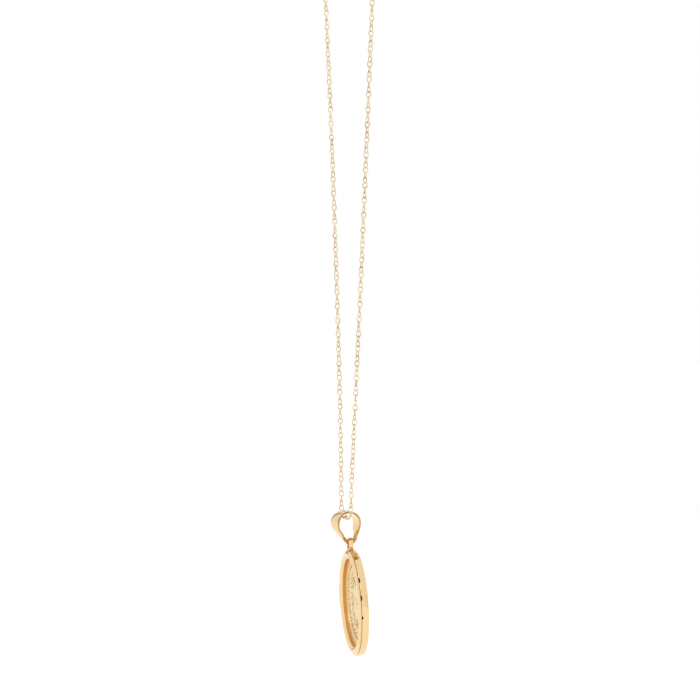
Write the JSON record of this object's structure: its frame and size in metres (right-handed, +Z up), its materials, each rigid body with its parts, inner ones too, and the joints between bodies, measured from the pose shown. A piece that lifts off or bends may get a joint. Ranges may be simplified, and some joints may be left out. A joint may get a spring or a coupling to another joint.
{
  "type": "locket necklace",
  "caption": "Round gold locket on a fine cable chain, with a hinged lid holding a recessed relief, a teardrop bail, a hanging ring and a spring ring clasp.",
  "frame": {"origin": "top of the chain loop, where it rests on a neck or a display peg", "axes": "+Z up the hanging chain, -Y out of the locket's front, +X towards the catch, -X towards the hinge"},
  "size_m": [0.0432, 0.0082, 0.2243],
  "materials": {
    "gold": "polished",
    "chain_gold": "polished",
    "relief_gold": "satin",
    "spring_steel": "satin",
    "photo_paper": "matte",
    "window": "clear"
  },
  "bodies": {
    "necklace": {"chain_left": "chain_gold", "chain_right": "chain_gold", "connector_ring": "chain_gold", "clasp_eye": "chain_gold", "clasp_body": "chain_gold", "clasp_spring": "spring_steel", "tag_ring": "chain_gold"},
    "clasp_gate": {"clasp_bolt": "chain_gold"},
    "bail": {"bail": "gold"},
    "case": {"hanging_ring": "gold", "ring_saddle": "gold", "case_back": "gold", "case_knuckles": "gold", "hinge_pin": "gold", "photo_card": "photo_paper", "photo_window": "window", "photo_frame": "gold", "catch_strike": "gold"},
    "lid": {"lid_rim": "gold", "relief_plate": "relief_gold", "bead_border": "relief_gold", "lid_knuckle": "gold", "catch_tongue": "gold"}
  },
  "joints": [
    {"name": "bail_swing", "type": "hinge", "parent": "necklace", "child": "bail", "pos_m": [0, -0.00105, -0.18965], "axis": [0.9877, 0.1564, 0], "range_deg": [-60, 30]},
    {"name": "case_swing", "type": "hinge", "parent": "bail", "child": "case", "pos_m": [-0.00014, -0.00018, -0.19273], "axis": [0.9877, 0.1564, 0], "range_deg": [-40, 50]},
    {"name": "lid_hinge", "type": "hinge", "parent": "case", "child": "lid", "pos_m": [-0.01326, 0.00026, -0.20844], "axis": [0, 0.0506, -0.9987], "range_deg": [0, 170]},
    {"name": "clasp_gate", "type": "hinge", "parent": "necklace", "child": "clasp_gate", "pos_m": [0.00052, 0.00008, 0], "axis": [0.1564, -0.9877, 0], "range_deg": [0, 50], "stiffness_Nm_per_rad": 0.0004, "springref_deg": -17.19}
  ]
}
